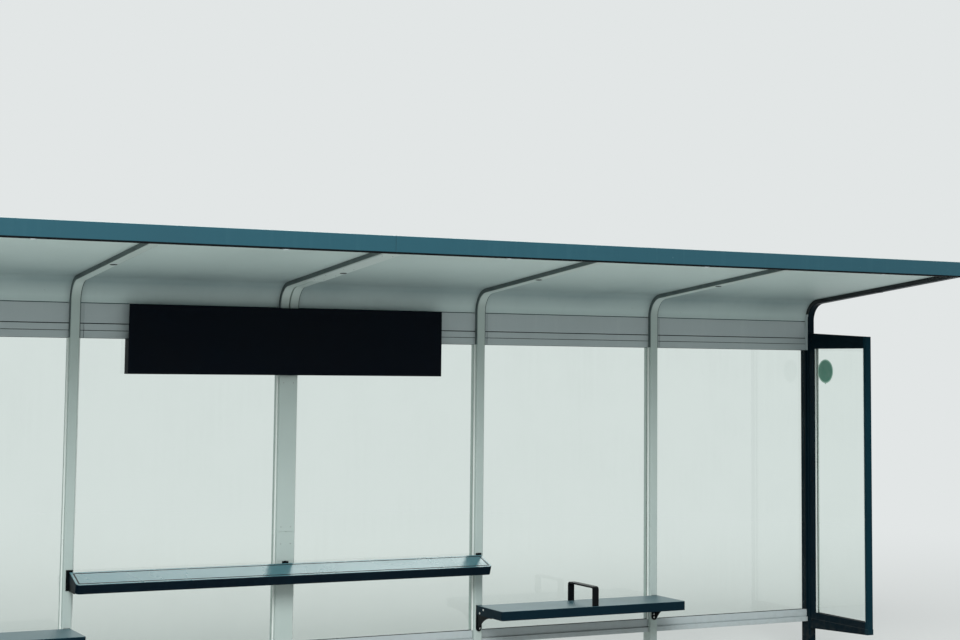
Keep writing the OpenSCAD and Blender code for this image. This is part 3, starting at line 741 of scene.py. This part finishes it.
railFix = {"xs": (-1.1945, 0.0, 1.1945), "off": 0.011, "zs": (0.652, 0.676), "headR": 0.0055,
           "headH": 0.0035}
darkHeads = bmesh.new()
railHead = domedHead(railFix["headR"], railFix["headH"])
for x in railFix["xs"]:
    for off in (-railFix["off"], railFix["off"]):
        for z in railFix["zs"]:
            fix(darkHeads, railHead, "lean_rail_brackets", (x + off, probe["front"], z), (0, 1, 0))
newPiece("rail_bolts", darkHeads, "black")

cover = {"x": 0.0285, "zs": (0.932, 0.84, 1.72), "ribYs": (-0.46, -0.62, -0.86, -1.34), "headR": 0.0032,
         "headH": 0.0012}
coverHeads = bmesh.new()
coverHead = domedHead(cover["headR"], cover["headH"])
for x in (-cover["x"], cover["x"]):
    for z in cover["zs"]:
        fix(coverHeads, coverHead, "centre_covers", (x, probe["front"], z), (0, 1, 0))
    for y in cover["ribYs"]:
        fix(coverHeads, coverHead, "centre_covers", (x, y, probe["below"]), (0, 0, 1))
newPiece("cover_screws", coverHeads, "zinc")


def ovalShape(profile, size, steps, limit=40.0):
    # a half section of unit radius and height, turned and then scaled to its real half sizes
    mesh = bmesh.new()
    turned(mesh, profile, steps)
    bmesh.ops.scale(mesh, vec=size, verts=mesh.verts)
    return asShape(closed(mesh), limit)


# low oval buttons under the fascia, one in each bay
clip = {"aside": 0.030, "y": -1.4315, "size": (0.019, 0.008, 0.0065)}
clips = bmesh.new()
clipShape = ovalShape([(0.0, 1.0), (0.5, 0.93), (0.82, 0.7), (0.96, 0.4), (1.0, 0.0), (0.0, 0.0)],
                      clip["size"], 20, 60.0)
for number in range(2 * spacing["sideBays"]):
    x = (number + 0.5 - spacing["sideBays"]) * spacing["bay"] + clip["aside"]
    fascia = "fascia_left" if x < 0 else "fascia_right"
    fix(clips, clipShape, fascia, (x, clip["y"], probe["below"]), (0, 0, 1))
newPiece("fascia_buttons", clips, "rail")

# an oval plug over the hanger slot of each rib, and of the right one of the pair
plug = {"y": -0.724, "size": (0.019, 0.016, 0.0022),
        "ribs": {-3: "frame_left_end", -2: "frame_left_outer", -1: "frame_left_inner", 0: "centre_covers",
                 1: "frame_right_inner", 2: "frame_right_outer", 3: "frame_right_end"}}
plugs = bmesh.new()
plugShape = ovalShape([(0.0, 0.55), (0.62, 0.6), (0.72, 1.0), (0.9, 0.9), (1.0, 0.35), (1.0, 0.0),
                       (0.0, 0.0)], plug["size"], 28)
for number, rib in plug["ribs"].items():
    x = number * spacing["bay"] if number else (weld["pairX"] - weld["postX"]) / 2
    fix(plugs, plugShape, rib, (x, plug["y"], probe["below"]), (0, 0, 1))
newPiece("rib_plugs", plugs, "rubber")

# screw heads on sealing washers, along each rib and at the back
roofFix = {"ys": (-0.24, -0.47, -0.70, -0.93, -1.16, -1.385), "backZ": (2.045, 2.11), "aside": 0.028,
           "size": (0.0085, 0.0085, 0.0055), "ribs": (-3, -2, -1, 1, 2, 3)}
roofHeads = bmesh.new()
roofShape = ovalShape([(0.0, 1.0), (0.42, 1.0), (0.56, 0.84), (0.58, 0.42), (0.8, 0.36), (1.0, 0.2),
                       (1.0, 0.0), (0.0, 0.0)], roofFix["size"], 12)
roofXs = [number * spacing["bay"] for number in roofFix["ribs"]] + [-roofFix["aside"], roofFix["aside"]]
for x in roofXs:
    skin = "roof_skin_left" if x < 0 else "roof_skin_right"
    for y in roofFix["ys"]:
        fix(roofHeads, roofShape, skin, (x, y, probe["above"]), (0, 0, -1), draw.uniform(0, math.pi))
    for z in roofFix["backZ"]:
        fix(roofHeads, roofShape, skin, (x, probe["behind"], z), (0, -1, 0), draw.uniform(0, math.pi))
newPiece("roof_screws", roofHeads, "teal")

wingFix = {"y": -0.068, "zs": (0.24, 0.62, 1.12, 1.62, 2.01), "headR": 0.007, "headH": 0.003}
wingHeads = bmesh.new()
wingHead = domedHead(wingFix["headR"], wingFix["headH"])
for side, wing in ((-1, "wing_left_frame"), (1, "wing_right_frame")):
    wingX = side * spacing["sideBays"] * spacing["bay"]
    for z in wingFix["zs"]:
        for face in (-1, 1):
            fix(wingHeads, wingHead, wing, (wingX + face * probe["aside"], wingFix["y"], z), (-face, 0, 0))
newPiece("wing_bolts", wingHeads, "black")

sticker = {"wide": 0.152, "tall": 0.15, "point": 0.007, "rim": 0.008, "thick": 0.0004, "y": -0.191,
           "z": 1.815}


def stickerShape():
    # a plain round sign with a slight point below: a green field inside a paler rim
    mesh = bmesh.new()
    bmesh.ops.create_circle(mesh, cap_ends=True, radius=0.5, segments=56)
    bmesh.ops.scale(mesh, vec=(sticker["wide"], sticker["tall"], 1.0), verts=mesh.verts)
    bmesh.ops.inset_region(mesh, faces=mesh.faces[:], thickness=sticker["rim"], use_even_offset=True,
                           use_boundary=True)
    lowest = min(mesh.verts, key=lambda v: v.co.y)
    lowest.co.y -= sticker["point"]
    bmesh.ops.solidify(mesh, geom=mesh.faces[:], thickness=sticker["thick"])
    for face in mesh.faces:
        if face.calc_center_median().length > sticker["wide"] / 4:
            face.material_index = 1
    return asShape(mesh)


films = bmesh.new()
film = stickerShape()
for side in (-1, 1):
    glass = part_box("wing_left_glass" if side < 0 else "wing_right_glass")
    faceX = glass[1][0] + sticker["thick"] if side < 0 else glass[0][0] - sticker["thick"]
    known = len(films.verts)
    films.from_mesh(film)
    films.verts.ensure_lookup_table()
    upright = Matrix(((0, 0, -side, 0), (-side, 0, 0, 0), (0, 1, 0, 0), (0, 0, 0, 1)))
    bmesh.ops.transform(films, matrix=Matrix.Translation((faceX, sticker["y"], sticker["z"])) @ upright,
                        verts=films.verts[known:])
bmesh.ops.recalc_face_normals(films, faces=films.faces)
newPiece("wing_stickers", films, "green greenRim")
print("fittings placed")


# Studio: a wide pale floor that fades into the plain background, soft light, camera

studio = {"half": 300.0, "floor": "#dcdfdd", "bounce": "#cfd1ce", "background": "#e2e6e6", "air": "#f3f6f8",
          "airLight": 0.5, "fadeFrom": 3.0, "fadeTo": 13.0}


def seenRay(tree):
    # 1 for what the eye, a mirror or glass sees, 0 for light that falls on things
    path = addNode(tree, "ShaderNodeLightPath").outputs
    direct = addNode(tree, "ShaderNodeMath", {0: path["Is Camera Ray"], 1: path["Is Glossy Ray"]},
                     operation="MAXIMUM").outputs[0]
    return addNode(tree, "ShaderNodeMath", {0: direct, 1: path["Is Transmission Ray"]},
                   operation="MAXIMUM").outputs[0]


def studioFloor():
    mesh = bmesh.new()
    bmesh.ops.create_grid(mesh, x_segments=1, y_segments=1, size=studio["half"])
    data = bpy.data.meshes.new("studioFloor")
    mesh.to_mesh(data)
    mesh.free()
    floor = bpy.data.objects.new("studioFloor", data)
    bpy.context.scene.collection.objects.link(floor)
    material, tree, place = newMaterial("paleFloor")
    seen = seenRay(tree)
    away = addNode(tree, "ShaderNodeVectorMath", {0: place}, operation="LENGTH").outputs["Value"]
    fade = addNode(tree, "ShaderNodeMapRange", {0: away, 1: studio["fadeFrom"], 2: studio["fadeTo"]},
                   interpolation_type="SMOOTHSTEP").outputs[0]
    paint = layered(tree, studio["bounce"], (seen, studio["floor"]))
    matt = addNode(tree, "ShaderNodeBsdfDiffuse", {"Color": paint}).outputs[0]
    glow = addNode(tree, "ShaderNodeEmission", {"Color": tone(studio["background"])}).outputs[0]
    data.materials.append(finished(material, "ShaderNodeMixShader",
                                   {0: stretched(tree, fade, seen), 1: matt, 2: glow}))


def studioAir():
    # the world lights the shelter softly, and shows as the plain background
    world = bpy.data.worlds.new("studioAir")
    world.use_nodes = True
    tree = world.node_tree
    tree.nodes.clear()
    light = addNode(tree, "ShaderNodeBackground",
                    {"Color": tone(studio["air"]), "Strength": studio["airLight"]})
    shown = addNode(tree, "ShaderNodeBackground", {"Color": tone(studio["background"])})
    both = addNode(tree, "ShaderNodeMixShader",
                   {0: seenRay(tree), 1: light.outputs[0], 2: shown.outputs[0]})
    addNode(tree, "ShaderNodeOutputWorld", {"Surface": both.outputs[0]})
    bpy.context.scene.world = world


def softLight(name, look):
    lamp = bpy.data.lights.new(name, "AREA")
    lamp.shape = "RECTANGLE"
    lamp.size, lamp.size_y = look["size"]
    lamp.energy = look["power"]
    holder = bpy.data.objects.new(name, lamp)
    holder.location = look["place"]
    sight = Vector(look["aim"]) - Vector(look["place"])
    holder.rotation_euler = sight.to_track_quat("-Z", "Y").to_euler()
    bpy.context.scene.collection.objects.link(holder)


studioFloor()
studioAir()
softLight("skyLight", {"place": (-6.0, -13.0, 10.5), "aim": (0, 0, 1.0), "size": (10.0, 8.0),
                       "power": 2500})
softLight("backLight", {"place": (6.0, 12.0, 9.0), "aim": (0, 0, 1.5), "size": (8.0, 6.0), "power": 700})

# lengths in metres, angles in degrees, the focal length and the horizon's row in pixels
view = {"place": (-3.7009, -9.480, 1.8083), "yaw": 27.3567, "pitch": 4.8167, "roll": 0.5858,
        "focalPx": 1814.28, "centreRow": 215.888, "width": 960, "height": 640, "sensorMm": 36.0,
        "farthest": 500.0}


def photoCamera():
    lens = bpy.data.cameras.new("photoView")
    lens.sensor_fit = "HORIZONTAL"
    lens.sensor_width = view["sensorMm"]
    lens.lens = view["focalPx"] / view["width"] * view["sensorMm"]
    lens.shift_y = (view["centreRow"] - view["height"] / 2) / view["width"]
    lens.clip_end = view["farthest"]
    camera = bpy.data.objects.new("photoView", lens)
    turn = (Matrix.Rotation(math.radians(-view["yaw"]), 4, "Z") @
            Matrix.Rotation(math.radians(90 + view["pitch"]), 4, "X"))
    camera.matrix_world = (Matrix.Translation(view["place"]) @ turn @
                           Matrix.Rotation(math.radians(view["roll"]), 4, "Z"))
    bpy.context.scene.collection.objects.link(camera)
    bpy.context.scene.camera = camera


photoCamera()
bpy.context.scene.view_settings.view_transform = "Standard"
print("studio ready")
